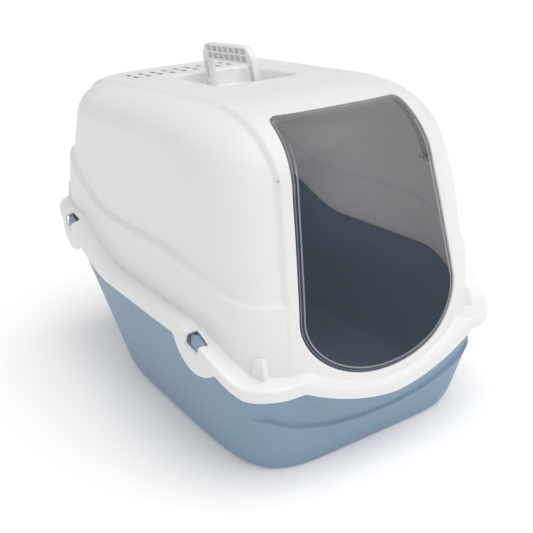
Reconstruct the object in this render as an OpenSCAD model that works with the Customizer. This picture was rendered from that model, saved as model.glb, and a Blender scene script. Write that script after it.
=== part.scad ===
// Hooded cat litter box: tray, lift-off hood, swing door, folding handle and vent filter.
// Millimetres. +Z is up, the front faces -Y, and the origin is the centre of the footprint.

/* [Overall] */
// Width over the hood flange
body_w = 390; // [330:1:440]
// Length over the hood flange
body_l = 570; // [500:1:640]
// Height of the roof above the floor
roof_h = 397; // [370:1:430]
// Wall thickness of the hood
hood_wall = 2.6; // [2:0.1:3.2]

/* [Rim line] */
// Height of the flange at the middle of the front
rim_front = 98; // [92:1:106]
// Rise of the flange from the front to its first crest
rim_crest = 35; // [28:1:40]
// Dip of the flange at the front corners
rim_dip = 2.5; // [0:0.5:6]
// Height of the flange along the sides
rim_side = 175; // [165:1:185]
// Height of the flange at the rear
rim_rear = 221; // [205:1:230]
// Height of the flange skirt
skirt_h = 15; // [12:1:20]

/* [Tray] */
// Width of the tray floor
floor_w = 296; // [270:1:310]
// Length of the tray floor
floor_l = 380; // [360:1:430]
// Wall thickness of the tray
tray_wall = 2.8; // [2.2:0.1:3.4]

/* [Door] */
// Width of the doorway at the hinge line
door_w = 181; // [170:1:190]
// Gap between the door and the doorway
door_gap = 2.2; // [1.8:0.1:3]
// Thickness of the door panel
door_t = 2.2; // [1.8:0.1:3]
// Diameter of the door pins
pin_d = 6; // [5:0.1:7]

/* [Handle] */
// Length of the handle from front to rear
grip_l = 123; // [110:1:128]
// Height of the handle above its pins
grip_h = 53; // [48:1:54]
// Thickness of the handle
grip_t = 8; // [7:0.5:9]
// Columns of pockets in the grip
grip_cols = 7; // [5:1:8]

/* [Vents] */
// Slots in each vent row
vent_count = 11; // [8:1:11]
// Length of a vent slot
vent_l = 18; // [14:1:20]

/* [Hidden] */

$fn = 0;
$fa = 6;
$fs = 0.8;
cols = 20;                      // outline steps in a quarter of the plan
ring_n = 4 * cols;
corner_at = 0.4;                // share of a quarter that lies on the front or rear edge
fit = 0.3;                      // clearance between parts that lift apart
run = 0.05;                     // radial clearance of a pin in its bore

hw = body_w / 2;
hl = body_l / 2;
flange_n = 5.8;                 // squareness of the flange outline
floor_n = 5.9;                  // squareness of the tray floor at the front corners
foot_n = 4.4;                   // and at the rear ones
floor_fwd = 46.5;               // how far the floor lies in front of the middle
step = 3.5;                     // height of the middle band over the side panels
swell = 5;                      // how far the side wall stands out below the shoulder line
swell_front = 2.8;              // and the front wall
band = 103;                     // half width of the middle band at the brow
band_rear = 119;                // and at the rear edge of the roof
band_slope = 0.1;               // widening of the band down the front
brow_z = roof_h - 67;
brow_y = -200;
lean_z = roof_h - 80;           // the front starts to curve back here
side_z = roof_h - 47;           // the sides start to curve in here

hinge_y = -232;
hinge_z = roof_h - 77;
door_foot = 109;                // lowest point of the doorway
door_wide = 183;                // height where the doorway is widest
door_half = door_w / 2 + 16;    // half width there
door_top = roof_h - 13;
swing_r = 71.3;                 // reach of the door rim behind the hinge
boss_r = 6.5;

well_y = 20;                    // middle of the handle well
well_l = grip_l + 13;
well_w = 116;
well_z = roof_h - 23;           // floor of the well
well_r = 18;                    // corner radius of the well
pivot_z = roof_h - 14;
grip_r = 20;                    // outer corner radius of the handle
leg = 11.5;
grip_band = 21;                 // depth of the pocketed bar
grip_lean = 6.5;                // how far the handle leans to -X at rest

vent_pitch = 17.5;
vent_w = 4.6;
vent_y = 148;
vent_row = 24;                  // distance between the two rows
filter_w = 212;
filter_l = 66;
filter_t = 7;
filter_y = vent_y - vent_row / 2;

lug_w = 19;
lug_h = 21;
lug_turn = 22;                  // the lugs turn with the rounded corners
hook_y = [-187, 170];           // the two clips along each side
hook_l = 16;
lobe_r = 47;

// ---- plan outlines -------------------------------------------------------

function ease(a, b, x) = let (t = min(1, max(0, (x - a) / (b - a)))) t * t * (3 - 2 * t);

// Walk along half of a unit square, v = 0 at the front centre to 2 at the rear centre.
function walk(v) =
    v > 1 ? let (p = walk(2 - v)) [p[0], -p[1]] :
    v < corner_at ? [v / corner_at, -1] : [1, (v - 1) / (1 - corner_at)];

// Step number to the distance v along the half outline, and to its side.
function along(i) = let (v = 4 * i / ring_n) v > 2 ? 4 - v : v;
function side(i) = 4 * i / ring_n > 2 ? -1 : 1;

// Point i of a squarish oval with half width a, front reach f and rear reach r, and with
// squareness n at the front corners and m at the rear ones.
function plan(i, a, f, r, n, m) =
    let (p = walk(along(i)), e = p[1] < 0 ? n : m, k = pow(pow(abs(p[0]), e) + pow(abs(p[1]), e), -1 / e))
    [side(i) * a * k * p[0], (p[1] < 0 ? f : r) * k * p[1]];

// A closed ring of points, with one height for all or a height from the rim line.
function level(a, f, r, n, m, z) = [for (i = [0:ring_n - 1]) concat(plan(i, a, f, r, n, m), z)];
function wavy(a, f, r, n, dz) =
    [for (i = [0:ring_n - 1]) concat(plan(i, a, f, r, n, n), rim(along(i)) + dz)];

// Height of the flange along the half outline.
function rim(v) = rim_front + rim_crest * pow(min(1, v / 0.24), 1.7) - rim_dip * ease(0.24, 0.3, v)
    + (rim_side - rim_front - rim_crest + rim_dip) * ease(0.37, 0.68, v)
    + (rim_rear - rim_side) * ease(1.08, 1.45, v);

// Skin over a stack of rings, closed by a fan at each end.
module skin(rings, low, high) {
    m = len(rings);
    last = m * ring_n;
    polyhedron(
        points = concat([for (r = rings) each r], [low, high]),
        faces = concat(
            [for (i = [0:ring_n - 1]) [i, (i + 1) % ring_n, last]],
            [for (j = [0:m - 2], i = [0:ring_n - 1], h = [0, 1])
                let (a = j * ring_n + i, b = j * ring_n + (i + 1) % ring_n)
                h == 0 ? [a, a + ring_n, b] : [b, a + ring_n, b + ring_n]],
            [for (i = [0:ring_n - 1])
                [(m - 1) * ring_n + i, last + 1, (m - 1) * ring_n + (i + 1) % ring_n]]),
        convexity = 6);
}

// Everything inside becomes one moulded skin.
module moulded() { resize([0, 0, 0]) children(); }

// ---- hood surfaces -------------------------------------------------------

// Reach of the middle band at height z: half width, front and rear.
function curve(z, z0, h) = sqrt(max(0, 1 - pow(max(0, z - z0) / h, 2)));
function front_at(z) = z < lean_z ? 245 + (lean_z - z) * 0.167 : 140 + 105 * curve(z, lean_z, 80);
function side_at(z) = z < side_z ? 168 + (side_z - z) * 0.035 : 116 + 52 * curve(z, side_z, 47);
function rear_at(z) = z < side_z ? 245 + (side_z - z) * 0.1 : 188 + 57 * curve(z, side_z, 47);

// Squareness of the corners at height z.
function front_n(z) = 4.6 + ease(131, 210, z) - 2.05 * ease(roof_h - 137, roof_h - 12, z);
function rear_n(z) = 8.2 - 3.9 * ease(roof_h - 157, roof_h - 22, z);

// Height of the shoulder line on the wall.
function shoulder(v) = 210 + 31 * ease(0.36, 0.78, v) + 62 * ease(1.15, 1.62, v);

function hood_point(i, z, o) =
    concat(plan(i, side_at(z) + o, front_at(z) + o, rear_at(z) + o, front_n(z), rear_n(z)), z);
function hood_ring(z, o) = [for (i = [0:ring_n - 1]) hood_point(i, z, o)];
function hood_wave(z, o) = [for (i = [0:ring_n - 1]) hood_point(i, z[i], o[i])];

// Closed body inside the hood's outer surface, moved out by o, with low = 1 swollen below
// the shoulder line, and reaching down by foot from the rim line.
module hood_body(o, low, foot) {
    line = [for (i = [0:ring_n - 1]) shoulder(along(i))];
    base = [for (i = [0:ring_n - 1]) rim(along(i)) - foot];
    plain = [for (i = [0:ring_n - 1]) o];
    wide = [for (i = [0:ring_n - 1])
        o + low * (swell_front + (swell - swell_front) * ease(0.25, 0.6, along(i)))];
    top = roof_h + min(o, 0);
    tops = [for (t = [0, 15, 30, 42, 54, 64, 73, 81]) lean_z + (top - lean_z) * sin(t)];
    skin(concat(
        [hood_wave(base, wide), hood_wave([for (z = line) z - 6], wide),
         hood_wave([for (z = line) z + 4], plain)],
        [for (z = tops) hood_ring(z, o)],
        [[for (i = [0:ring_n - 1]) concat(plan(i, 112, 141, 187, 3.4, 4.1), top)]]),
        [0, 0, 20], [0, 0, top]);
}

// The whole outside of the walls and roof: side panels, swollen foot and raised band.
module hood_outside(o, foot) {
    hood_body(o - step, 1, foot);
    intersection() {
        hood_body(o, 0, foot);
        band_zone(o);
    }
}

// Where the raised band lies: it widens down the front, and backwards over the roof.
module band_zone(o) {
    b = band + o;
    low = b + band_slope * brow_z;
    back = band_rear + o;
    rotate([90, 0, 0]) linear_extrude(body_l, center = true)
        polygon([[-low, 0], [low, 0], [b, brow_z], [b, roof_h + 9], [-b, roof_h + 9], [-b, brow_z]]);
    linear_extrude(roof_h + 10)
        polygon([[-b, -hl], [b, -hl], [b, brow_y], [back, hl], [-back, hl], [-b, brow_y]]);
}

// Closed body of the flange and its skirt.
module flange_body(o, foot) {
    skin([wavy(hw + o, hl + o, hl + o, flange_n, -skirt_h - foot),
          wavy(hw + o, hl + o, hl + o, flange_n, -4.5),
          wavy(hw + o - 1.4, hl + o - 1.4, hl + o - 1.4, flange_n, -1.4 + o),
          wavy(hw + o - 4.5, hl + o - 4.5, hl + o - 4.5, flange_n, o),
          wavy(hw - 26, hl - 8, hl - 26, flange_n - 1, 0.4 + o)],
        [0, 0, foot > skirt_h ? 0 : rim_side - 30], [0, 0, rim_side]);
}

// Half discs that hang below the skirt around the clips.
module lobes() {
    for (y = hook_y, s = [-1, 1])
        translate([s * hw, y - 3, rim_at_y(y) + 5.5]) rotate([0, 90, 0])
            cylinder(r = lobe_r, h = 60, center = true);
}

// Flange height and slope on the long sides at a given y.
function v_at_y(y) = let (t = abs(y) / hl, u = t / pow(1 - pow(min(t, 0.97), flange_n), 1 / flange_n))
    y < 0 ? 1 - (1 - corner_at) * min(u, 1) : 1 + (1 - corner_at) * min(u, 1);
function rim_at_y(y) = rim(v_at_y(y));
function slope_at_y(y) = atan2(rim_at_y(y + 12) - rim_at_y(y - 12), 24);
function x_at_y(y) = hw * pow(1 - pow(abs(y) / hl, flange_n), 1 / flange_n);

// Doorway outline seen from the front, moved in by g.
module doorway(g) {
    w0 = door_half - g;
    w1 = door_w / 2 - 4 - g;
    foot = door_wide - door_foot - g;
    top = door_top - g;
    r = 12;
    h = 6.5;
    polygon(concat(
        [for (t = [180:7.5:360]) [w0 * cos(t), door_wide + foot * sin(t)]],
        [for (t = [0:18:90]) [w1 - r + r * cos(t), top - h + h * sin(t)]],
        [for (t = [90:18:180]) [-w1 + r + r * cos(t), top - h + h * sin(t)]]));
}

module doorway_block(g, y0, y1) {
    translate([0, y1, 0]) rotate([90, 0, 0]) linear_extrude(y1 - y0) doorway(g);
}

// ---- parts ---------------------------------------------------------------

// Ring of the tray floor, moved out by o.
function foot_ring(o, z) = level(floor_w / 2 + o, floor_l / 2 + floor_fwd + o,
                                 floor_l / 2 - floor_fwd + o, floor_n, foot_n, z);

module tray() color("LightSteelBlue") {
    edge = hw - hood_wall - 1.2;
    end = hl - hood_wall - 1.2;
    drop = hood_wall + 4 * fit;
    w = tray_wall;
    moulded() difference() {
        union() {
            skin([foot_ring(0, 0), foot_ring(4.5, 2), foot_ring(8.5, 7), foot_ring(14, 20),
                  wavy(edge - 9, end - 9, end - 9, flange_n, -skirt_h - 18),
                  wavy(edge - 5, end - 5, end - 5, flange_n, -skirt_h),
                  wavy(edge - 4, end - 4, end - 4, flange_n, -drop)],
                [0, 0, 0], [0, 0, rim_side]);
            hooks();
        }
        skin([foot_ring(-2, w), foot_ring(2.5, w + 2), foot_ring(6.5, w + 7), foot_ring(12, w + 20),
              wavy(edge - 9 - w, end - 9 - w, end - 9 - w, flange_n, -skirt_h - 18),
              wavy(edge - 5 - w, end - 5 - w, end - 5 - w, flange_n, -skirt_h),
              wavy(edge - 4 - w, end - 4 - w, end - 4 - w, flange_n, 4)],
            [0, 0, w], [0, 0, rim_side + 10]);
    }
}

// Rounded hooks on the tray rim that show in the clip windows.
module hooks() {
    for (y = hook_y, s = [-1, 1])
        translate([s * (x_at_y(y) - 9), y, rim_at_y(y) - hood_wall - 7.6])
            rotate([slope_at_y(y), 0, 0]) hull() for (e = [-1, 1])
                translate([0, e * (hook_l / 2 - 2), 0]) {
                    sphere(r = 4.6);
                    translate([0, 0, -8]) sphere(r = 3);
                }
}

module hood() color("White") difference() {
    moulded() difference() {
        union() {
            hood_outside(0, 2);
            flange_body(0, 0);
            intersection() {
                flange_body(0, lobe_r);
                lobes();
            }
            lugs();
        }
        difference() {
            union() {
                hood_outside(-hood_wall, 20);
                flange_body(-hood_wall, 70);
                translate([0, 0, -30]) linear_extrude(rim_front)
                    square([body_w + 20, body_l + 20], center = true);
            }
            well_skin();
            filter_rails();
            door_bosses();
        }
        well_pocket();
        doorway_block(0, -hl - 10, hinge_y + 95);
        vents();
        windows();
    }
    pin_bores();
}

// Small tapered blocks on the flange corners that space stacked hoods.
module lugs() {
    for (s = [-1, 1], e = [-1, 1])
        translate([s * (e < 0 ? 151 : 160), e < 0 ? -246 : 257, (e < 0 ? rim(0.37) : rim_rear) - 2])
            rotate([0, 0, s * e * lug_turn]) linear_extrude(lug_h + 5, scale = [0.8, 0.72], slices = 1)
                translate([-s * 8, 0]) square([16, lug_w], center = true);
}

// The well that the folded handle lies in: a basin under the roof, and its pocket.
module well_shape(g, z0, z1) {
    w = well_w - 6 + 2 * g;
    l = well_l - 1 + 2 * g;
    translate([0, well_y, z0]) linear_extrude(z1 - z0, scale = [1 + 6 / w, 1 + 1 / l], slices = 1)
        offset(r = well_r) square([w - 2 * well_r, l - 2 * well_r], center = true);
}

module well_skin() { well_shape(hood_wall, well_z - hood_wall, roof_h - 1); }

module well_pocket() {
    difference() {
        well_shape(0, well_z, roof_h + 1);
        for (s = [-1, 1]) translate([0, well_y + s * (grip_l / 2 + 4.5), pivot_z]) {
            rotate([90, 0, 0]) cylinder(d = leg + 1, h = 8, center = true);
            translate([-leg / 2 - 0.5, -4, well_z - pivot_z - 1]) cube([leg + 1, 8, pivot_z - well_z + 1]);
        }
    }
}

// A low wall inside the roof that the filter cover snaps around.
module filter_rails() {
    translate([0, filter_y, roof_h - 14]) linear_extrude(13) difference() {
        square([filter_w + 4, filter_l + 4], center = true);
        square([filter_w, filter_l], center = true);
    }
}

module door_bosses() {
    for (s = [-1, 1]) translate([s * (door_w / 2 + 14), hinge_y, hinge_z]) {
        rotate([0, 90, 0]) cylinder(r = boss_r, h = 27, center = true, $fn = 48);
        translate([-13.5, -10, -boss_r]) cube([27, 10, 2 * boss_r]);
    }
}

module pin_bores() {
    for (s = [-1, 1]) {
        translate([s * (door_w / 2 + 6), hinge_y, hinge_z]) rotate([0, 90, 0])
            cylinder(d = pin_d + 2 * run, h = 16, center = true);
        translate([0, well_y + s * (grip_l / 2 + 5.5), pivot_z]) rotate([90, 0, 0])
            cylinder(d = pin_d + 2 * run, h = 12, center = true);
    }
}

module vents() {
    for (row = [0, 1], i = [0:vent_count - 1])
        translate([(i - (vent_count - 1) / 2) * vent_pitch, vent_y - row * vent_row, roof_h - 10])
            linear_extrude(20) {
                square([vent_w, vent_l - vent_w], center = true);
                for (e = [-1, 1]) translate([0, e * (vent_l - vent_w) / 2]) circle(d = vent_w, $fn = 16);
            }
}

module windows() {
    for (y = hook_y, s = [-1, 1])
        translate([s * (x_at_y(y) - 3), y, rim_at_y(y)]) rotate([slope_at_y(y), 0, 0])
            translate([-10, -hook_l / 2 - 4, -13.5]) cube([20, hook_l + 8, 23]);
}

module door_flap() color("DimGray", 0.6) {
    g = door_gap;
    moulded() union() {
        intersection() {
            difference() {
                hood_body(-0.4, 0, 2);
                hood_body(-0.4 - door_t, 0, 2);
            }
            doorway_block(g, -hl, hinge_y + 95);
        }
        // A rim that stiffens the upper edge, trimmed to the circle it swings in.
        intersection() {
            difference() {
                hood_body(-0.4, 0, 2);
                hood_body(-12, 0, 2);
            }
            difference() {
                doorway_block(g, -hl, hinge_y + 95);
                doorway_block(g + door_t, -hl - 1, hinge_y + 96);
                translate([-hw, -hl - 1, 0]) cube([body_w, body_l, hinge_z - 6]);
            }
            translate([0, hinge_y, hinge_z]) rotate([0, 90, 0])
                cylinder(r = swing_r, h = body_w, center = true);
        }
    }
    for (s = [-1, 1]) translate([s * (door_w / 2 + 2), hinge_y, hinge_z])
        rotate([0, 90, 0]) cylinder(d = pin_d, h = 17, center = true);
}

// Arch with a pocketed grip, drawn in the Y-Z plane with its pins at the origin.
module carry_handle() color("WhiteSmoke") translate([0, well_y, pivot_z]) rotate([0, -grip_lean, 0]) {
    half = grip_l / 2;
    pitch = (grip_l - 2 * leg - 2) / grip_cols;
    row = (grip_band - 3) / 2;
    difference() {
        rotate([90, 0, 90]) translate([0, 0, -grip_t / 2]) linear_extrude(grip_t) union() {
            difference() {
                arch(half, grip_h, grip_r);
                translate([-half + leg, -20]) square([grip_l - 2 * leg, grip_h - grip_band + 20]);
            }
            for (s = [-1, 1]) translate([s * (half - leg / 2), 0]) circle(d = leg);
        }
        for (i = [0:grip_cols - 1], j = [0, 1])
            translate([-grip_t / 2 - 1, -half + leg + 1 + i * pitch + 1.2, grip_h - grip_band + 1.5 + j * row + 1])
                cube([grip_t - 1.2, pitch - 2.4, row - 2]);
        for (s = [-1, 1]) translate([-grip_t / 2 - 1, s * (half - leg / 2) - leg / 2 + 2.4, 8])
            cube([4, leg - 4.8, grip_h - grip_band - 10]);
    }
    for (s = [-1, 1]) translate([0, s * (half + 3), 0]) rotate([90, 0, 0])
        cylinder(d = pin_d, h = 12, center = true);
}

module arch(half, top, r) {
    translate([-half, 0]) square([2 * half, top - r]);
    translate([-half + r, 0]) square([2 * (half - r), top]);
    for (s = [-1, 1]) translate([s * (half - r), top - r]) circle(r = r);
}

// Snap-on grid under the vents that holds the filter pad.
module filter_cover() color("Gainsboro") {
    w = filter_w + 4 + 2 * fit;
    l = filter_l + 4 + 2 * fit;
    translate([0, filter_y, roof_h - 17]) difference() {
        linear_extrude(10) square([w + 4, l + 4], center = true);
        translate([0, 0, 2]) linear_extrude(10) square([w, l], center = true);
        for (i = [-4:4], j = [-1:1]) translate([i * 22, j * 20, -1])
            linear_extrude(5) square([18, 16], center = true);
    }
}

module filter_pad() color("DimGray") {
    translate([0, filter_y, roof_h - 14.8]) linear_extrude(filter_t)
        square([filter_w - 2, filter_l - 2], center = true);
}

tray();
hood();
door_flap();
carry_handle();
filter_cover();
filter_pad();
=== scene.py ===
"""Hooded cat litter box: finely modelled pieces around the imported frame.

Shapes are worked out in millimetres with the same outline functions as the CAD source,
and written to the meshes in metres.
"""
import math

import bpy
import numpy as np
from mathutils import Matrix, Vector


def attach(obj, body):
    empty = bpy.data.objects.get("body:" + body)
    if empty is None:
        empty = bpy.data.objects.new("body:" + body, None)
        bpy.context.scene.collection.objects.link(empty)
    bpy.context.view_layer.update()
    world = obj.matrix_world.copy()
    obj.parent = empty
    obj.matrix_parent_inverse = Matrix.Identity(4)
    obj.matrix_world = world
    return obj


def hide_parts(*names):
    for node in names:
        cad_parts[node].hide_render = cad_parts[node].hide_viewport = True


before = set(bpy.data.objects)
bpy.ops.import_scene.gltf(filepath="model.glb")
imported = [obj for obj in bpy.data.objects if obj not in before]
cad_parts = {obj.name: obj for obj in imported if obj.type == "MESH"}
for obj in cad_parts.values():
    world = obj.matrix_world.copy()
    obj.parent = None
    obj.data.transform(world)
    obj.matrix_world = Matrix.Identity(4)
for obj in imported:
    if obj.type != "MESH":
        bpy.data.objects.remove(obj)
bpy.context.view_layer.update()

# ---- sizes, in millimetres ------------------------------------------------

HW, HL = 195.0, 285.0           # half the flange
ROOF = 397.0
WALL = 2.6
FLANGE_N, FLOOR_N, FOOT_N = 5.8, 5.9, 4.4
STEP = 3.5                      # height of the middle band over the side panels
STRIP = 7.0                     # width of its sloping edge
SPRING = 350.0                  # where the sides and the rear start to curve into the roof
BROW_Z, BROW_H = 317.0, 80.0    # where the front starts to curve, and over what height
RIM_FRONT, RIM_REAR = 131.0, 221.0
HINGE_Y, HINGE_Z = -232.0, 320.0
BORE_R, PIN_R = 3.05, 3.0
WELL_Y, WELL_L, WELL_W, WELL_Z, WELL_R = 20.0, 136.0, 116.0, 374.0, 18.0
WELL_FLARE_W, WELL_FLARE_L = 6.0, 1.0   # widening of the well from its floor to the roof
WELL_EDGE = 4.0                 # radius of its floor edge
PIVOT_Y, PIVOT_Z = 66.0, 383.0  # handle bosses, Y from the middle of the well
VENT_W, VENT_L, VENT_LIP = 6.0, 18.0, 0.4
VENT_COUNT, VENT_PITCH, VENT_ROW, VENT_Y = 11, 17.5, 24.0, 148.0
VENT_SKIN = 1.3                 # roof left around the vents
FILTER_Y, FILTER_W, FILTER_L = 134.0, 216.0, 70.0
HOOK_Y = (-187.0, 170.0)
LOBE_R = 47.0
LUG_W, LUG_L, LUG_H, LUG_TURN = 16.0, 19.0, 20.8, 22.0
DOOR_GAP, DOOR_T = 2.2, 2.2
DOOR_SINK = 0.4                 # the door's face lies this far behind the hood's
DOOR_Z, DOOR_TOP = 183.0, 384.0 # widest height and upper edge of the doorway
DOOR_FOOT, DOOR_W0, DOOR_W1 = 74.0, 106.5, 86.5
TRAY_GAP = 1.2                  # between the tray's rim and the hood's flange
TRAY_T = 2.8
TRAY_LOW = 20.0                 # height where the tray's foot turns into its wall
TRAY_RIM = 33.0                 # depth of the tray's upright rim
RECESS = 4.9                    # depth of the tray's front panel behind its crease

# Steps across each stretch of the outline, from the middle of the front round to a corner.
NB, NR, NO, NS = 40, 6, 18, 156
HALF = NB + NR + NO
RING = 4 * HALF + 2 * NS


# ---- outline functions ----------------------------------------------------

def ease(a, b, x):
    t = np.clip((x - a) / (b - a), 0.0, 1.0)
    return t * t * (3.0 - 2.0 * t)


def soft(x, w):
    """x where it is positive, easing to 0 below, over a width of about w."""
    return w * np.logaddexp(0.0, np.asarray(x, float) / w)


def curve(z, z0, h):
    """Quarter of an oval that falls from 1 at z0 to 0 at z0 + h."""
    return np.sqrt(np.maximum(0.0, 1.0 - (np.maximum(0.0, z - z0) / h) ** 2))


def front_at(z):
    return 140.0 + 105.0 * curve(z, BROW_Z, BROW_H) + 0.167 * soft(BROW_Z - z, 7.0)


def side_at(z):
    return 116.0 + 52.0 * curve(z, SPRING, ROOF - SPRING) + 0.035 * soft(SPRING - z, 5.0)


def rear_at(z):
    return 188.0 + 57.0 * curve(z, SPRING, ROOF - SPRING) + 0.1 * soft(SPRING - z, 5.0)


def rim(v):
    """Height of the flange at the distance v round the half outline."""
    return (98.0 + 35.0 * np.minimum(1.0, v / 0.24) ** 1.7 - 2.5 * ease(0.24, 0.30, v)
            + 44.5 * ease(0.37, 0.68, v) + 46.0 * ease(1.08, 1.45, v))


def shoulder(v):
    """Height of the step round the lower walls."""
    return 210.0 + 31.0 * ease(0.36, 0.78, v) + 62.0 * ease(1.15, 1.62, v)


def swell(v):
    """How far the wall below the shoulder stands out from the panel above it."""
    return 2.8 + 2.4 * ease(0.25, 0.6, v)


def front_n(z):
    """Squareness of the hood's front corners at height z."""
    return 4.6 + ease(131.0, 210.0, z) - 2.05 * ease(260.0, 385.0, z)


def rear_n(z):
    return 8.2 - 3.9 * ease(240.0, 375.0, z)


def band_half(y, z):
    """Half width of the raised middle band."""
    return np.maximum(103.0 + 0.1 * soft(330.0 - z, 6.0),
                      103.0 + 16.0 * np.maximum(0.0, (y + 200.0) / 485.0))


def part_of_edge(u, n):
    """Where on the edge of the unit square the outline reaches the fraction u of its width."""
    u = min(float(u), 0.9995)
    return u / (1.0 - u ** n) ** (1.0 / n)


def edge_steps(t0, t1):
    """Steps from the middle of an end to its corner, t0 and t1 being the band's edges."""
    return np.concatenate([np.linspace(0.0, t0, NB + 1), np.linspace(t0, t1, NR + 1)[1:],
                           np.linspace(t1, 1.0, NO + 1)[1:]])


def walk(front, rear):
    """The whole outline as points p, q on the unit square, and its distance v."""
    pf = np.concatenate([-front[::-1], front[1:]])
    pr = np.concatenate([rear[::-1], -rear[1:]])
    side = np.linspace(-1.0, 1.0, NS + 1)
    p = np.concatenate([pf[:-1], np.ones(NS), pr[:-1], -np.ones(NS)])
    q = np.concatenate([-np.ones(2 * HALF), side[:-1], np.ones(2 * HALF), side[::-1][:-1]])
    v = np.where(np.abs(q) > 0.99999, 0.4 * np.abs(p), 1.0 + 0.6 * q)
    v = np.where(q > 0.99999, 2.0 - 0.4 * np.abs(p), v)
    return p, q, v


def outline(p, q, a, f, r, n, z, m):
    """Squarish oval: half width a, reach f and r, squareness n in front and m at the rear."""
    n = np.where(q < 0.0, n, m)
    k = (np.abs(p) ** n + np.abs(q) ** n) ** (-1.0 / n)
    return np.stack([a * k * p, np.where(q < 0.0, f, r) * k * q, np.broadcast_to(z, p.shape)], 1)


def wall_steps(zf, zr):
    """Outline steps whose band edges lie on the band at these front and rear heights."""
    bf, br = band_half(-240.0, zf), band_half(240.0, zr)
    af, ar, nf, nr = side_at(zf), side_at(zr), front_n(zf), rear_n(zr)
    return walk(edge_steps(part_of_edge(bf / af, nf), part_of_edge((bf + STRIP) / af, nf)),
                edge_steps(part_of_edge(br / ar, nr), part_of_edge((br + STRIP) / ar, nr)))


def strip_profile():
    """Depth of the surface under the band, step by step from the middle of the front."""
    t = np.linspace(0.0, 1.0, NR + 1)
    drop = STEP * (0.7 * t + 0.3 * ease(0.0, 1.0, t))
    return -np.concatenate([np.zeros(NB), drop, np.full(NO, STEP)])


PROFILE = strip_profile()
BAND = np.concatenate([PROFILE[::-1][:-1], PROFILE[:-1], np.full(NS, -STEP),
                       PROFILE[::-1][:-1], PROFILE[:-1], np.full(NS, -STEP)])


def wall_ring(height, o):
    """One ring of the hood wall at height(v), moved out by o."""
    p, q, v = wall_steps(float(height(np.array([0.27]))[0]), float(height(np.array([1.72]))[0]))
    z = height(v)
    s = shoulder(v)
    side = -STEP + swell(v) * (1.0 - ease(s - 6.0, s + 4.0, z))
    d = np.logaddexp(BAND / 0.2, side / 0.2) * 0.2 + o
    return outline(p, q, side_at(z) + d, front_at(z) + d, rear_at(z) + d, front_n(z), z, rear_n(z))


# ---- the hood's closed skins ----------------------------------------------

def roof_xyz(p, q):
    """Surface point of the upper hood for p, q in the unit square, 1 at its lowest edge."""
    m = np.maximum(np.maximum(np.abs(p), np.abs(q)), 1e-6)
    inner = 0.6
    ang = np.clip((1.0 - m) / (1.0 - inner), 0.0, 1.0) * math.pi / 2.0
    z = SPRING + (ROOF - SPRING) * np.sin(ang)
    flat = np.minimum(m / inner, 1.0)
    n = np.minimum(np.where(q < 0.0, front_n(z), rear_n(z)) / flat ** 2, 40.0)
    k = np.maximum((np.abs(p) / m) ** n + (np.abs(q) / m) ** n, 1e-9) ** (-1.0 / n) * flat
    y = np.where(q < 0.0, front_at(z), rear_at(z)) * k * q / m
    return np.stack([side_at(z) * k * p / m, y, z], -1)


def roof_grid(o):
    """Grid of the upper hood with columns along the band's edges, moved out by o."""
    _, qs, _ = walk(edge_steps(0.5, 0.6), edge_steps(0.5, 0.6))
    qs = np.concatenate([qs[2 * HALF:2 * HALF + NS], [1.0]])
    fine = np.linspace(0.0, 1.0, 1501)
    rows = []
    for q in qs:
        g = roof_xyz(fine, np.full_like(fine, q))
        edge = g[:, 0] - band_half(g[:, 1], g[:, 2])
        t0 = float(np.interp(0.0, edge, fine))
        t1 = float(np.interp(STRIP, edge, fine))
        k = edge_steps(t0, t1)
        rows.append(np.concatenate([-k[::-1], k[1:]]))
    p = np.array(rows)
    q = np.repeat(qs[:, None], p.shape[1], 1)
    g = roof_xyz(p, q)
    du = np.gradient(g, axis=1)
    dv = np.gradient(g, axis=0)
    nrm = np.cross(du, dv)
    nrm /= np.linalg.norm(nrm, axis=2, keepdims=True)
    drop = np.concatenate([PROFILE[::-1], PROFILE[1:]])
    return g + nrm * (drop[None, :, None] + o)


def stack_faces(rows, count):
    """Quads between closed rings of count points, stacked one on the other."""
    j, i = np.meshgrid(np.arange(rows - 1), np.arange(count), indexing="ij")
    a = j * count + i
    b = j * count + (i + 1) % count
    return np.stack([a, b, b + count, a + count], -1).reshape(-1, 4)


def close_hood(rings, o, low):
    """Closed body: rings from the bottom up, the roof grid on top, a fan to the point low."""
    rings = rings + [wall_ring(lambda v: np.full_like(v, SPRING), o)]
    verts = np.concatenate(rings)
    faces = stack_faces(len(rings), RING).tolist()
    grid = roof_grid(o)
    nv, nu = grid.shape[:2]
    ids = np.full((nv, nu), -1)
    base = (len(rings) - 1) * RING
    ids[0, :] = base + np.arange(2 * HALF + 1)
    ids[:, -1] = base + 2 * HALF + np.arange(NS + 1)
    ids[-1, ::-1] = base + 2 * HALF + NS + np.arange(2 * HALF + 1)
    ids[1:, 0][::-1] = base + 4 * HALF + NS + np.arange(NS)
    inner = grid[1:-1, 1:-1].reshape(-1, 3)
    ids[1:-1, 1:-1] = len(verts) + np.arange(len(inner)).reshape(nv - 2, nu - 2)
    verts = np.concatenate([verts, inner, [[0.0, 0.0, low]]])
    faces += np.stack([ids[:-1, :-1], ids[:-1, 1:], ids[1:, 1:], ids[1:, :-1]], -1).reshape(-1, 4).tolist()
    last = len(verts) - 1
    faces += [[(i + 1) % RING, i, last] for i in range(RING)]
    return verts, faces


P0, Q0, V0 = wall_steps(RIM_FRONT, RIM_REAR)


def flange_ring(e, z):
    """Ring of the flange outline moved in by e, a little fuller at the middle of the front."""
    bow = 4.0 * np.clip(1.0 - (P0 / 0.75) ** 2, 0.0, 1.0) * (Q0 < -0.999)
    return outline(P0, Q0, HW - e, HL + bow - e, HL - e, FLANGE_N, z, FLANGE_N)


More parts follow.
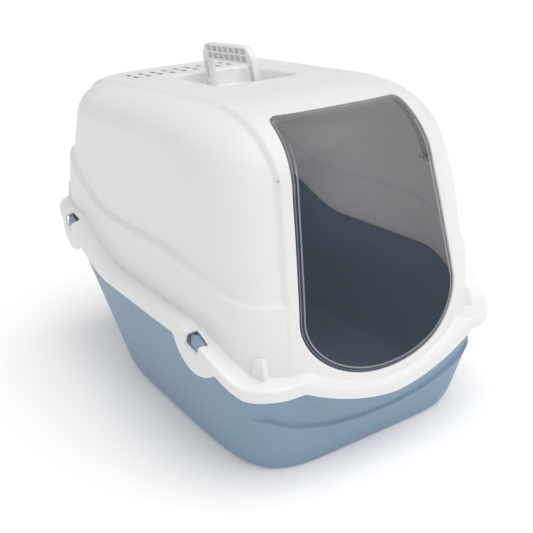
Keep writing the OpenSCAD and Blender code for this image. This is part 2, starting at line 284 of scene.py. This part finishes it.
def rim_at_y(y):
    """Height of the flange on the long sides."""
    u = (np.abs(y) / HL) / (1.0 - (np.abs(y) / HL) ** FLANGE_N) ** (1.0 / FLANGE_N)
    return rim(1.0 + np.sign(y) * 0.6 * np.minimum(u, 1.0))


def slope_at_y(y):
    """Angle of the flange on the long sides."""
    return math.atan2(float(rim_at_y(y + 12.0) - rim_at_y(y - 12.0)), 24.0)


def x_at_y(y):
    """Half width of the flange."""
    return HW * (1.0 - (abs(y) / HL) ** FLANGE_N) ** (1.0 / FLANGE_N)


def skirt_foot():
    """Lower edge of the skirt, with the half discs that hang around the clips."""
    ring = flange_ring(0.0, 0.0)
    foot = rim(V0) - 15.0
    for y in HOOK_Y:
        dy = np.clip((ring[:, 1] - y + 3.0) / LOBE_R, -1.0, 1.0)
        disc = float(rim_at_y(np.array(y))) + 5.5 - LOBE_R * np.sqrt(1.0 - dy ** 2)
        near = (np.abs(dy) < 1.0) & (np.abs(Q0) < 0.999)
        foot = np.where(near, np.minimum(foot, disc), foot)
    return foot


def hood_outer():
    """Outer skin of the hood: skirt, rounded flange, fillet, lower wall, shoulder, panel, roof."""
    z = rim(V0)
    foot = skirt_foot()
    r, chamfer, fillet, ledge = 4.5, 0.6, 2.5, 0.2
    rings = [flange_ring(0.5, foot), flange_ring(0.0, foot + chamfer)]
    rings += [flange_ring(0.0, foot + chamfer + (z - r - foot - chamfer) * t) for t in (0.25, 0.5, 0.75, 1.0)]
    rings += [flange_ring(r * (1 - math.cos(a)), z - r + r * math.sin(a))
              for a in np.radians([15, 30, 45, 60, 75, 90])]
    edge = rings[-1]
    base = wall_ring(lambda v: rim(v) + ledge, fillet)
    rings += [edge + (base - edge) * t for t in (0.3, 0.65, 1.0)]
    for a in np.radians([30, 60, 90]):
        rise, out = ledge + fillet * (1 - math.cos(a)), fillet * (1 - math.sin(a))
        rings.append(wall_ring(lambda v: rim(v) + rise, out))
    lift = ledge + fillet
    rings += [wall_ring(lambda v, t=t: rim(v) + lift + (shoulder(v) - 10.0 - rim(v) - lift) * t, 0.0)
              for t in np.linspace(0.0, 1.0, 14)[1:]]
    rings += [wall_ring(lambda v, h=h: shoulder(v) + h, 0.0) for h in np.arange(-8.0, 8.1, 1.6)]
    rings += [wall_ring(lambda v, t=t: shoulder(v) + 8.0 + (SPRING - shoulder(v) - 8.0) * t, 0.0)
              for t in np.linspace(0.0, 1.0, 24)[1:-1]]
    return close_hood(rings, 0.0, 120.0)


def hood_inner():
    """The space inside the hood, closed below by a point under the floor."""
    o = -WALL
    z = rim(V0)
    rings = [flange_ring(WALL, z - 90.0), flange_ring(WALL, z - 40.0), flange_ring(WALL, z - WALL - 3.0),
             flange_ring(WALL + 0.9, z - WALL - 0.9), flange_ring(WALL + 3.0, z - WALL)]
    edge = rings[-1]
    base = wall_ring(lambda v: rim(v) - WALL, o)
    rings += [edge + (base - edge) * 0.5, base]
    rings += [wall_ring(lambda v, t=t: rim(v) - WALL + (shoulder(v) - 7.4 - rim(v)) * t, o)
              for t in np.linspace(0.0, 1.0, 7)[1:]]
    rings += [wall_ring(lambda v, h=h: shoulder(v) + h, o) for h in np.arange(-8.0, 8.1, 3.2)]
    rings += [wall_ring(lambda v, t=t: shoulder(v) + 8.0 + (SPRING - shoulder(v) - 8.0) * t, o)
              for t in np.linspace(0.0, 1.0, 12)[1:-1]]
    return close_hood(rings, o, -60.0)


# ---- small closed solids --------------------------------------------------

def rounded_rect(w, l, r, steps=8):
    """Points round a rectangle with rounded corners, anticlockwise from the +X side."""
    pts = []
    for k, (sx, sy) in enumerate(((1, 1), (-1, 1), (-1, -1), (1, -1))):
        a = np.radians(90.0 * k) + np.linspace(0.0, math.pi / 2.0, steps + 1)
        pts.append(np.stack([sx * (w / 2 - r) + r * np.cos(a), sy * (l / 2 - r) + r * np.sin(a)], 1))
    return np.concatenate(pts)


def loft(loops):
    """Closed solid through equal loops of 3-D points, anticlockwise seen from the last one."""
    count = len(loops[0])
    verts = np.concatenate(loops)
    faces = stack_faces(len(loops), count).tolist()
    faces.append(list(range(count))[::-1])
    faces.append([(len(loops) - 1) * count + i for i in range(count)])
    return verts, faces


def at(loop, z):
    """The flat loop at height z."""
    return np.column_stack([loop, np.full(len(loop), float(z))])


def block(w, l, r, z0, z1, edge):
    """Upright block with rounded corners, its upper edges rounded by edge."""
    loops = [at(rounded_rect(w, l, r, 5), z0)]
    for a in np.radians([0, 30, 60, 90]):
        e = edge * (1 - math.cos(a))
        loop = rounded_rect(w - 2 * e, l - 2 * e, max(r - e * 0.6, 0.3), 5)
        loops.append(at(loop, z1 - edge + edge * math.sin(a)))
    return loft(loops)


def tube(a, b, r, count=32):
    """Cylinder from a to b."""
    a, b = np.array(a, float), np.array(b, float)
    d = (b - a) / np.linalg.norm(b - a)
    u = np.cross(d, [0.0, 0.0, 1.0] if abs(d[2]) < 0.9 else [1.0, 0.0, 0.0])
    u /= np.linalg.norm(u)
    w = np.cross(d, u)
    t = np.linspace(0, 2 * math.pi, count, endpoint=False)[:, None]
    ring = r * (np.cos(t) * u + np.sin(t) * w)
    return loft([a + ring, b + ring])


def moved(solid, m):
    v, f = solid
    v = np.column_stack([v, np.ones(len(v))]) @ np.array(m).T
    return v[:, :3], f


def joined(solids):
    verts, faces, n = [], [], 0
    for v, f in solids:
        verts.append(v)
        faces += [[i + n for i in g] for g in f]
        n += len(v)
    return np.concatenate(verts), faces


# ---- Blender helpers ------------------------------------------------------

def piece(name, solid):
    """Mesh object of a solid given in millimetres."""
    verts, faces = solid
    mesh = bpy.data.meshes.new(name)
    mesh.from_pydata((np.asarray(verts) * 0.001).tolist(), [], faces)
    mesh.update()
    obj = bpy.data.objects.new(name, mesh)
    bpy.context.scene.collection.objects.link(obj)
    return obj


def bake(obj):
    """Turns the modifiers into the mesh."""
    ev = obj.evaluated_get(bpy.context.evaluated_depsgraph_get())
    mesh = bpy.data.meshes.new_from_object(ev)
    old = obj.data
    obj.modifiers.clear()
    obj.data = mesh
    mesh.name = old.name
    bpy.data.meshes.remove(old)


def cut(obj, solid, op="DIFFERENCE"):
    """Cuts a solid out of the piece, or joins it on with UNION."""
    combine(obj, piece("cutter", solid), op)


def combine(obj, other, op="DIFFERENCE"):
    mod = obj.modifiers.new("cut", "BOOLEAN")
    mod.operation = op
    mod.solver = "MANIFOLD"
    mod.object = other
    bake(obj)
    old = other.data
    bpy.data.objects.remove(other)
    bpy.data.meshes.remove(old)


def finish_mesh(obj, material, angle=32.0):
    """Gives the piece its material and smooth shading up to this angle."""
    mesh = obj.data
    mesh.materials.clear()
    mesh.materials.append(material)
    for p in mesh.polygons:
        p.use_smooth = True
    mesh.set_sharp_from_angle(angle=math.radians(angle))


# ---- the doorway ----------------------------------------------------------

def doorway(g):
    """Doorway outline in X and Z, moved in by g, anticlockwise seen from the front."""
    w0, w1, foot, top = DOOR_W0 - g, DOOR_W1 - g, DOOR_FOOT - g, DOOR_TOP - g
    r, h = max(12.0 - g * 0.3, 1.5), max(6.5 - g * 0.2, 1.0)
    a = np.radians(np.linspace(180.0, 360.0, 73))
    pts = [np.stack([w0 * np.cos(a), DOOR_Z + foot * np.sin(a)], 1)]
    t = np.linspace(0.0, 1.0, 46)[1:-1, None]
    pts.append(np.array([[w0, DOOR_Z]]) * (1 - t) + np.array([[w1, top - h]]) * t)
    b = np.radians(np.linspace(0.0, 90.0, 10))
    pts.append(np.stack([w1 - r + r * np.cos(b), top - h + h * np.sin(b)], 1))
    u = np.linspace(0.0, 1.0, 40)[1:-1, None]
    pts.append(np.array([[w1 - r, top]]) * (1 - u) + np.array([[-w1 + r, top]]) * u)
    pts.append(np.stack([-w1 + r - r * np.sin(b), top - h + h * np.cos(b)], 1))
    pts.append(np.array([[-w1, top - h]]) * (1 - t) + np.array([[-w0, DOOR_Z]]) * t)
    return np.concatenate(pts)


def front_y(x, z, o):
    """The front surface of the band, moved out by o."""
    a, f, n = side_at(z) + o, front_at(z) + o, front_n(z)
    return -f * (1.0 - np.minimum(np.abs(x) / a, 0.999) ** n) ** (1.0 / n)


def door_loop(g, o):
    """The doorway outline moved in by g, on the front surface moved out by o."""
    p = doorway(g)
    return np.stack([p[:, 0], front_y(p[:, 0], p[:, 1], o), p[:, 1]], 1)


def doorway_cutter():
    """Solid that cuts the doorway, with a rounded outer edge."""
    r, deep = 1.2, -8.0
    steps = [(-r, 25.0), (-r, 0.05)]
    steps += [(-r * (1 - math.sin(a)), -r * (1 - math.cos(a))) for a in np.radians([30, 60, 90])]
    loops = [door_loop(g, o) for g, o in steps + [(0.0, deep)]]
    last = door_loop(0.0, deep)
    last[:, 1] = np.maximum(last[:, 1] + 30.0, -150.0)
    return loft((loops + [last])[::-1])


# ---- materials ------------------------------------------------------------

def shader(name):
    """A new node material, its nodes, its links and its shader."""
    mat = bpy.data.materials.new(name)
    mat.use_nodes = True
    nodes = mat.node_tree.nodes
    return mat, nodes, mat.node_tree.links, nodes["Principled BSDF"]


def noise(nd, ln, scale, detail):
    """Noise fixed to the piece."""
    coord = nd.new("ShaderNodeTexCoord")
    node = nd.new("ShaderNodeTexNoise")
    node.inputs["Scale"].default_value = scale
    node.inputs["Detail"].default_value = detail
    ln.new(coord.outputs["Object"], node.inputs["Vector"])
    return node


def tint(nd, ln, source, bsdf, low, high, start=0.0, end=1.0):
    """Base colour between low and high, driven by the noise."""
    ramp = nd.new("ShaderNodeValToRGB")
    for stop, place, colour in zip(ramp.color_ramp.elements, (start, end), (low, high)):
        stop.position = place
        stop.color = (*colour, 1.0)
    ln.new(source.outputs["Fac"], ramp.inputs["Fac"])
    ln.new(ramp.outputs["Color"], bsdf.inputs["Base Color"])


def relief(nd, ln, source, bsdf, strength):
    """Fine relief of a fifth of a millimetre at most."""
    bump = nd.new("ShaderNodeBump")
    bump.inputs["Strength"].default_value = strength
    bump.inputs["Distance"].default_value = 0.0002
    ln.new(source.outputs["Fac"], bump.inputs["Height"])
    ln.new(bump.outputs["Normal"], bsdf.inputs["Normal"])


def plastic(name, colour, rough, grain, fleck, subsurface=0.0):
    """Moulded plastic: faint mottling, a fine moulded grain and slightly uneven gloss."""
    mat, nd, ln, bsdf = shader(name)
    cloud = noise(nd, ln, 9.0, 3.0)
    low, high = [c * (1.0 - fleck) for c in colour], [c * (1.0 + fleck) for c in colour]
    tint(nd, ln, cloud, bsdf, low, high, 0.3, 0.7)
    span = nd.new("ShaderNodeMapRange")
    span.inputs["To Min"].default_value = rough - 0.05
    span.inputs["To Max"].default_value = rough + 0.07
    ln.new(cloud.outputs["Fac"], span.inputs["Value"])
    ln.new(span.outputs["Result"], bsdf.inputs["Roughness"])
    relief(nd, ln, noise(nd, ln, 1400.0, 2.0), bsdf, grain)
    bsdf.inputs["IOR"].default_value = 1.49
    if subsurface:
        bsdf.inputs["Subsurface Weight"].default_value = subsurface
        bsdf.inputs["Subsurface Radius"].default_value = (1.0, 0.95, 0.9)
        bsdf.inputs["Subsurface Scale"].default_value = 0.007
    return mat


def smoke(name, dark, light, alpha, rough):
    """See-through smoke-grey plastic, glossy, with the faint waviness of a moulded sheet."""
    mat, nd, ln, bsdf = shader(name)
    wave = noise(nd, ln, 14.0, 1.0)
    tint(nd, ln, wave, bsdf, dark, light)
    relief(nd, ln, wave, bsdf, 0.1)
    bsdf.inputs["Alpha"].default_value = alpha
    bsdf.inputs["Roughness"].default_value = rough
    bsdf.inputs["IOR"].default_value = 1.42
    return mat


WHITE = plastic("hood_plastic", (0.86, 0.86, 0.86), 0.38, 0.10, 0.012, subsurface=0.3)
BLUE = plastic("tray_plastic", (0.232, 0.338, 0.458), 0.45, 0.05, 0.03)
SMOKE = smoke("smoke_plastic", (0.04, 0.044, 0.05), (0.055, 0.06, 0.066), 0.18, 0.08)
# paler, less see-through smoke for the door's edges: a painted highlight, not the plastic's own colour
EDGE_HIGHLIGHT_SMOKE = smoke("smoke_painted_edge_highlight", (0.5, 0.51, 0.52), (0.58, 0.59, 0.6), 0.5, 0.2)
GREY = plastic("filter_plastic", (0.72, 0.72, 0.72), 0.42, 0.12, 0.02)
FELT = plastic("filter_foam", (0.035, 0.035, 0.037), 0.9, 0.9, 0.35)


# ---- hood -----------------------------------------------------------------

def well(g, top, lip):
    """The handle well grown by g: rounded floor edge, tapering walls and a rounded lip."""
    w, l, r = WELL_W - WELL_FLARE_W + 2 * g, WELL_L - WELL_FLARE_L + 2 * g, WELL_R + g
    floor = WELL_Z - g
    loops = []
    for a in np.radians([0, 30, 60, 90]):
        e = WELL_EDGE * (1 - math.sin(a))
        loop = rounded_rect(w - 2 * e, l - 2 * e, r - e, 10)
        loops.append(at(loop, floor + WELL_EDGE * (1 - math.cos(a))))
    high = ROOF - lip if lip else top
    t = (high - floor - WELL_EDGE) / (ROOF - WELL_Z)
    loops.append(at(rounded_rect(w + WELL_FLARE_W * t, l + WELL_FLARE_L * t, r, 10), high))
    if lip:
        w, l = w + WELL_FLARE_W, l + WELL_FLARE_L
        for a in np.radians([22, 45, 67, 90]):
            e = lip * (1 - math.cos(a))
            loop = rounded_rect(w + 2 * e, l + 2 * e, r + e, 10)
            loops.append(at(loop, ROOF - lip + lip * math.sin(a)))
        loops.append(at(rounded_rect(w + 2 * lip, l + 2 * lip, r + lip, 10), top))
    for p in loops:
        p[:, 1] += WELL_Y
    return loft(loops)


def vent_slots():
    """Two rows of slots with rounded outer edges."""
    solids = []
    r = VENT_W / 2 - 0.01
    loops = [at(rounded_rect(VENT_W, VENT_L, r, 6), z) for z in (388.0, ROOF - VENT_LIP)]
    for a in np.radians([30, 60, 90]):
        e = VENT_LIP * (1 - math.cos(a))
        loop = rounded_rect(VENT_W + 2 * e, VENT_L + 2 * e, r + e, 6)
        loops.append(at(loop, ROOF - VENT_LIP + VENT_LIP * math.sin(a)))
    loops.append(loops[-1] + [0.0, 0.0, 3.0])
    for row in (0, 1):
        for i in range(VENT_COUNT):
            place = ((i - VENT_COUNT // 2) * VENT_PITCH, VENT_Y - VENT_ROW * row, 0.0)
            solids.append(moved(loft(loops), Matrix.Translation(place)))
    return joined(solids)


def on_flange(s, y, inset):
    """Place on the flange at y, on the side s, turned to its slope."""
    return (Matrix.Translation((s * (x_at_y(y) - inset), y, float(rim_at_y(np.array(y)))))
            @ Matrix.Rotation(slope_at_y(y), 4, "X"))


def clip_windows():
    """Openings in the flange over the hooks, their sills falling towards the outside."""
    solids = []
    for y in HOOK_Y:
        for s in (-1, 1):
            loops = []
            for x, sill in ((-13.2, -13.5), (-2.8, -13.5), (0.4, -18.5), (10.0, -18.5)):
                p = rounded_rect(24.0, 14.0 - sill, 1.2, 5) + [0.0, (14.0 + sill) / 2]
                loops.append(np.column_stack([np.full(len(p), s * x), s * p[:, 0], p[:, 1]]))
            solids.append(moved(loft(loops), on_flange(s, y, 0.0)))
    return joined(solids)


def lugs():
    """Tapered stacking blocks on the corners of the flange, with rounded tops."""
    solids = []
    steps = [(-3.0, 0.0), (0.0, 0.0), (LUG_H, 1.0)]
    steps += [(LUG_H + 1.4 * math.sin(a), 1.0 + 0.35 * (1 - math.cos(a))) for a in np.radians([30, 60, 90])]
    for s in (-1, 1):
        for e, x, y, z in ((-1, 151.0, -246.0, RIM_FRONT), (1, 160.0, 257.0, RIM_REAR)):
            loops = []
            for h, t in steps:
                p = rounded_rect(LUG_W - 2.6 * t, LUG_L - 5.2 * t, 1.6, 5)
                p[:, 0] += 1.8 * t
                loops.append(at(p, h) * [-s, 1.0, 1.0] + [-s * LUG_W / 2, 0.0, 0.0])
            if s > 0:
                loops = [p[::-1] for p in loops]
            turn = Matrix.Rotation(s * e * math.radians(LUG_TURN), 4, "Z")
            solids.append(moved(loft(loops), Matrix.Translation((s * x, y, z)) @ turn))
    return joined(solids)


def well_bosses():
    """Round bosses for the handle's pins."""
    solids = []
    for s in (-1, 1):
        y = WELL_Y + s * PIVOT_Y
        solids.append(tube((0, y - 4.0, PIVOT_Z), (0, y + 4.0, PIVOT_Z), 6.25, 48))
    return joined(solids)


def boss_feet():
    foot = block(12.5, 8.0, 0.5, WELL_Z - 1.0, PIVOT_Z, 0.2)
    return joined([moved(foot, Matrix.Translation((0, WELL_Y + s * PIVOT_Y, 0))) for s in (-1, 1)])


def filter_rail():
    """Low wall under the vents that the filter cover snaps around."""
    z0, z1, thick = 383.0, 395.6, 2.0
    outer = rounded_rect(FILTER_W, FILTER_L, 2.5, 4)
    inner = rounded_rect(FILTER_W - 2 * thick, FILTER_L - 2 * thick, 1.0, 4)
    n = len(outer)
    verts = np.concatenate([at(outer, z0), at(outer, z1), at(inner, z1), at(inner, z0)])
    verts[:, 1] += FILTER_Y
    faces = []
    for k in range(4):
        a, b = k * n, ((k + 1) % 4) * n
        faces += [[a + i, a + (i + 1) % n, b + (i + 1) % n, b + i] for i in range(n)]
    return verts, faces


def hinge_pin(s, x0, x1, r, count=32):
    """Cylinder on the door's hinge axis, on the side s."""
    return tube((s * x0, HINGE_Y, HINGE_Z), (s * x1, HINGE_Y, HINGE_Z), r, count)


def make_hood():
    hood = piece("hood_shell", hood_outer())
    cut(hood, lugs(), "UNION")
    cavity = piece("cavity", hood_inner())
    cut(cavity, well(WALL, 396.5, 0.0))
    combine(hood, cavity)
    cut(hood, well(0.0, ROOF + 4.0, 2.6))
    cut(hood, boss_feet(), "UNION")
    cut(hood, well_bosses(), "UNION")
    cut(hood, filter_rail(), "UNION")
    for s in (-1, 1):
        cut(hood, hinge_pin(s, 92.6, 104.0, 5.2, 48), "UNION")
    pocket = block(200.0, 50.0, 3.0, 389.0, ROOF - VENT_SKIN, 0.4)
    cut(hood, moved(pocket, Matrix.Translation((0.0, VENT_Y - VENT_ROW / 2, 0.0))))
    cut(hood, vent_slots())
    cut(hood, doorway_cutter())
    cut(hood, clip_windows())
    holes = []
    for s in (-1, 1):
        holes.append(hinge_pin(s, 88.0, 104.5, BORE_R))
        holes.append(tube((s * 104.0, -234.0, 329.2), (s * 110.0, -241.0, 331.0), 1.8))
        holes.append(tube((0, WELL_Y + s * 61.0, PIVOT_Z), (0, WELL_Y + s * 73.0, PIVOT_Z), BORE_R))
    cut(hood, joined(holes))
    finish_mesh(hood, WHITE)
    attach(hood, "hood_body")
    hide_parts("hood")


# ---- tray -----------------------------------------------------------------

def crease(v):
    """Height of the raised lower panel's upper edge along the front, easing out on the sides."""
    x = 185.0 * np.minimum(v / 0.4, 1.0)
    front = 48.0 + 9.0 * (np.minimum(x, 160.0) / 100.0) ** 2.6
    return front + 14.0 * ease(0.36, 0.5, v) + 40.0 * ease(0.5, 1.4, v)


def tray_solid():
    """The tray as one stack of rings: floor, foot, outer wall, rim, inner wall, inner floor."""
    edge, end = HW - WALL - TRAY_GAP, HL - WALL - TRAY_GAP
    fa, fb, fr = 148.0, 236.5, 143.5    # half width and reaches of the foot
    z = rim(V0)
    line = crease(V0)

    def floor_ring(e, h, scale=1.0):
        return outline(P0, Q0, (fa + e) * scale, (fb + e) * scale, (fr + e) * scale, FLOOR_N, h, FOOT_N)

    def upper(e, h):
        return outline(P0, Q0, edge - e, end - e, end - e, FLANGE_N, z + h, FLANGE_N)

    recess = 1.0 - ease(0.31, 0.44, V0)
    top = upper(9.0, -TRAY_RIM)
    low = floor_ring(14.0, TRAY_LOW)
    rows = [floor_ring(0.0, 0.0, s) for s in (0.15, 0.45, 0.8, 0.95)]
    rows += [floor_ring(e, h)
             for e, h in ((0.0, 0.0), (1.6, 0.2), (4.0, 1.2), (6.3, 3.2), (8.4, 6.4), (11.0, 12.0))]

    def wall_row(h, o):
        """Between the low and the top ring at the height array h, moved out by o."""
        t = ((h - low[:, 2]) / (top[:, 2] - low[:, 2]))[:, None]
        ring = low + (top - low) * t
        r = np.linalg.norm(ring[:, :2], axis=1, keepdims=True)
        ring[:, :2] *= 1.0 + np.asarray(o).reshape(-1, 1) / r
        ring[:, 2] = h
        return ring

    mid = np.minimum(line, z - 46.0)
    for t in np.linspace(0.0, 1.0, 6):
        rows.append(wall_row(TRAY_LOW + (mid - 1.0 - TRAY_LOW) * t, 0.0))
    for dz, o in ((0.0, 0.6), (0.7, 0.5), (1.3, 0.0), (2.2, -1.4), (3.4, -3.0), (5.0, -4.2), (7.0, -RECESS)):
        rows.append(wall_row(mid + dz, recess * o))
    for t in np.linspace(0.0, 1.0, 9)[1:]:
        hollow = -RECESS - 1.6 * math.sin(math.pi * t) + 2.4 * t
        rows.append(wall_row(mid + 7.0 + (z - TRAY_RIM - mid - 7.0) * t, recess * hollow))
    rows += [upper(e, h)
             for e, h in ((7.0, -24.0), (5.4, -17.0), (4.8, -11.0), (4.0, -4.8), (4.4, -4.1), (5.4, -3.8),
                          (6.2, -4.1), (6.8, -4.9), (7.6, -11.0), (8.0, -17.0), (11.8, -TRAY_RIM))]
    inner_top = rows[-1]
    inner_low = floor_ring(11.0, 22.8)
    for t in np.linspace(0.0, 1.0, 12)[1:]:
        rows.append(inner_top + (inner_low - inner_top) * t)
    rows += [floor_ring(e, h)
             for e, h in ((8.5, 14.0), (6.0, 8.5), (3.6, 5.4), (1.4, 3.8), (-1.0, 3.0), (-3.0, TRAY_T))]
    rows += [floor_ring(0.0, TRAY_T, s) for s in (0.9, 0.7, 0.4, 0.1)]
    return loft(rows)


def hooks():
    """Rounded bars on the tray's rim that the hood's clips hold on to."""
    bar = block(9.2, 19.6, 3.2, -12.5, -1.4, 3.8)
    solids = []
    for y in HOOK_Y:
        for s in (-1, 1):
            solids.append(moved(bar, on_flange(s, y, 7.5) @ Matrix.Translation((0.0, -2.0, 0.0))))
    return joined(solids)


def make_tray():
    tray = piece("tray_shell", tray_solid())
    cut(tray, hooks(), "UNION")
    finish_mesh(tray, BLUE)
    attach(tray, "tray_body")
    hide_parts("tray")


# ---- door -----------------------------------------------------------------

def door_panel():
    """Curved panel with rounded edges and a thin bead inside its outline."""
    inner = (7.0, 20.0, 42.0, 64.0)
    face = [(0.0, 0.75), (0.12, 0.4), (0.35, 0.15), (0.7, 0.0), (2.6, 0.0), (3.0, -0.25), (3.5, -0.55),
            (4.0, -0.25), (4.4, 0.0)] + [(e, 0.0) for e in (7.0, 12.0, 20.0, 30.0, 42.0, 54.0, 64.0)]
    back = [(0.0, 0.6), (0.2, 0.2), (0.6, 0.0)] + [(e, 0.0) for e in inner]
    rows = [door_loop(DOOR_GAP + e, -DOOR_SINK - DOOR_T + rise) for e, rise in back[::-1]]
    rows += [door_loop(DOOR_GAP + e, -DOOR_SINK - sink) for e, sink in face]
    n = len(rows[0])
    faces = stack_faces(len(rows), n).tolist()
    faces += bridge(n, 0, True) + bridge(n, (len(rows) - 1) * n, False)
    return np.concatenate(rows), faces


def bridge(n, off, flip):
    """Closes a symmetric outline by quads from its right half to its left half."""
    ids = [off + i for i in range(n)]
    mid = 36        # the outline's lowest point
    right = [ids[(mid + k) % n] for k in range(n // 2 + 1)]
    left = [ids[(mid - k) % n] for k in range(n // 2 + 1)]
    faces = []
    for k in range(len(right) - 1):
        f = [right[k], right[k + 1], left[k + 1], left[k]]
        f = [v for i, v in enumerate(f) if v not in f[:i]]
        if len(f) > 2:
            faces.append(f[::-1] if flip else f)
    return faces


def door_rim():
    """Stiffening rim behind the upper edges, inside the circle it swings in."""
    foot, reach = 314.0, 71.2

    def strip(g, deep):
        p = doorway(g)
        p = p[p[:, 1] > foot]
        if deep:
            round_y = np.sqrt(np.maximum(reach ** 2 - (p[:, 1] - HINGE_Z) ** 2, 0.0))
            y = np.minimum(front_y(p[:, 0], p[:, 1], -12.0), HINGE_Y + round_y)
        else:
            y = front_y(p[:, 0], p[:, 1], -DOOR_SINK - 1.0)
        return np.stack([p[:, 0], y, p[:, 1]], 1)

    outer, inner = DOOR_GAP + 0.1, DOOR_GAP + 2.3
    count = min(len(strip(outer, False)), len(strip(inner, False)))
    corners = ((outer, False), (outer, True), (inner, True), (inner, False))
    loops = [strip(g, deep)[:count] for g, deep in corners]
    verts = np.concatenate(loops)
    faces = []
    for k in range(4):
        a, b = k * count, ((k + 1) % 4) * count
        faces += [[a + i, b + i, b + i + 1, a + i + 1] for i in range(count - 1)]
    faces.append([0, count, 2 * count, 3 * count][::-1])
    faces.append([count - 1, 2 * count - 1, 3 * count - 1, 4 * count - 1])
    return verts, faces


def paint_edge_highlights(door):
    """Paints highlights on the door's rim, bead and edges: faces turned away from the door's face get a
    paler, less see-through material that stands in for the light they catch.
    """
    mesh = door.data
    mesh.materials.append(EDGE_HIGHLIGHT_SMOKE)
    c = np.array([p.center for p in mesh.polygons]) * 1000.0
    n = np.array([p.normal for p in mesh.polygons])
    x, z, h, o = c[:, 0], c[:, 2], 0.5, -DOOR_SINK
    slope_x = front_y(x + h, z, o) - front_y(x - h, z, o)
    slope_z = front_y(x, z + h, o) - front_y(x, z - h, o)
    out = np.stack([slope_x, -np.ones(len(c)), slope_z], 1)
    out /= np.linalg.norm(out, axis=1, keepdims=True)
    # faces at a slant to the door's face get the painted highlight
    highlighted = np.abs((n * out).sum(1)) < 0.9
    for p, flag in zip(mesh.polygons, highlighted):
        p.material_index = int(flag)


def make_door():
    door = piece("door_panel", door_panel())
    cut(door, door_rim(), "UNION")
    for s in (-1, 1):
        cut(door, hinge_pin(s, 84.0, 101.0, PIN_R), "UNION")
    finish_mesh(door, SMOKE)
    # painted highlight on the door's rim, bead and edges
    paint_edge_highlights(door)
    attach(door, "door_body")
    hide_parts("door_flap")


# ---- handle ---------------------------------------------------------------

def make_handle():
    """The CAD handle with its sharp edges rounded."""
    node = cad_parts["carry_handle"]
    grip = bpy.data.objects.new("handle_grip", node.data.copy())
    grip.matrix_world = node.matrix_world.copy()
    bpy.context.scene.collection.objects.link(grip)
    weld = grip.modifiers.new("weld", "WELD")
    weld.merge_threshold = 0.00001
    flat = grip.modifiers.new("flat", "DECIMATE")
    flat.decimate_type = "DISSOLVE"
    flat.angle_limit = math.radians(2.0)
    bev = grip.modifiers.new("round", "BEVEL")
    bev.limit_method = "ANGLE"
    bev.angle_limit = math.radians(35.0)
    bev.width = 0.0007
    bev.segments = 3
    bake(grip)
    finish_mesh(grip, WHITE, 40.0)
    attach(grip, "handle_body")
    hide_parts("carry_handle")


# ---- stage ----------------------------------------------------------------

def make_stage():
    """A pale floor that reaches past the view."""
    size = 40.0
    mesh = bpy.data.meshes.new("floor")
    corners = [(x * size, y * size, 0.0) for x, y in ((-1, -1), (1, -1), (1, 1), (-1, 1))]
    mesh.from_pydata(corners, [], [(0, 1, 2, 3)])
    floor = bpy.data.objects.new("floor", mesh)
    bpy.context.scene.collection.objects.link(floor)
    mat, nd, ln, bsdf = shader("floor")
    grain = nd.new("ShaderNodeTexNoise")
    grain.inputs["Scale"].default_value = 3.0
    tint(nd, ln, grain, bsdf, (0.965, 0.95, 0.935), (0.98, 0.965, 0.95))
    bsdf.inputs["Roughness"].default_value = 0.9
    bsdf.inputs["Specular IOR Level"].default_value = 0.1
    bsdf.inputs["Emission Color"].default_value = (1.0, 1.0, 1.0, 1.0)
    bsdf.inputs["Emission Strength"].default_value = 0.12
    mesh.materials.append(mat)


def light(name, kind, energy, aim):
    """A light that shines along aim."""
    lamp = bpy.data.lights.new(name, kind)
    lamp.energy = energy
    obj = bpy.data.objects.new(name, lamp)
    bpy.context.scene.collection.objects.link(obj)
    obj.rotation_euler = Vector(aim).to_track_quat("-Z", "Y").to_euler()
    return obj


def make_lights():
    """An even white studio, a wide soft lamp overhead and a faint glow inside the hood."""
    world = bpy.data.worlds.new("studio")
    world.use_nodes = True
    bg = world.node_tree.nodes["Background"]
    bg.inputs["Color"].default_value = (1.0, 1.0, 1.0, 1.0)
    bg.inputs["Strength"].default_value = 0.5
    bpy.context.scene.world = world
    sun = light("sun", "SUN", 1.7, (-0.15, 0.4, -1.0))
    sun.data.angle = math.radians(60.0)
    glow = light("glow", "AREA", 0.11, (0.35, 0.15, 1.0))
    glow.data.shape = "DISK"
    glow.data.size = 0.16
    glow.location = (-0.03, 0.0, 0.17)
    glow.visible_camera = False
    glow.visible_glossy = False
    bpy.context.scene.view_settings.view_transform = "Standard"


def make_camera():
    """The camera at the photograph's angle, turned by a small roll."""
    az, el, roll = np.radians((-31.1, 21.3, -3.9))
    target, distance, focal = Vector((0.00198, -0.02598, 0.15059)), 1.0636, 801.3 / 533.0
    back = Vector((math.sin(az) * math.cos(el), -math.cos(az) * math.cos(el), math.sin(el)))
    right = Vector((math.cos(az), math.sin(az), 0.0))
    up = back.cross(right)
    x = math.cos(roll) * right + math.sin(roll) * up
    y = -math.sin(roll) * right + math.cos(roll) * up
    place = target + distance * back
    cam = bpy.data.cameras.new("camera")
    cam.sensor_width = 36.0
    cam.lens = cam.sensor_width * focal
    obj = bpy.data.objects.new("camera", cam)
    bpy.context.scene.collection.objects.link(obj)
    obj.matrix_world = Matrix(((x[0], y[0], back[0], place[0]), (x[1], y[1], back[1], place[1]),
                               (x[2], y[2], back[2], place[2]), (0.0, 0.0, 0.0, 1.0)))
    bpy.context.scene.camera = obj


make_camera()
make_lights()
make_stage()
make_hood()
make_tray()
make_door()
make_handle()
for node, mat in (("filter_cover", GREY), ("filter_pad", FELT)):
    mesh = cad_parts[node].data
    mesh.materials.clear()
    mesh.materials.append(mat)
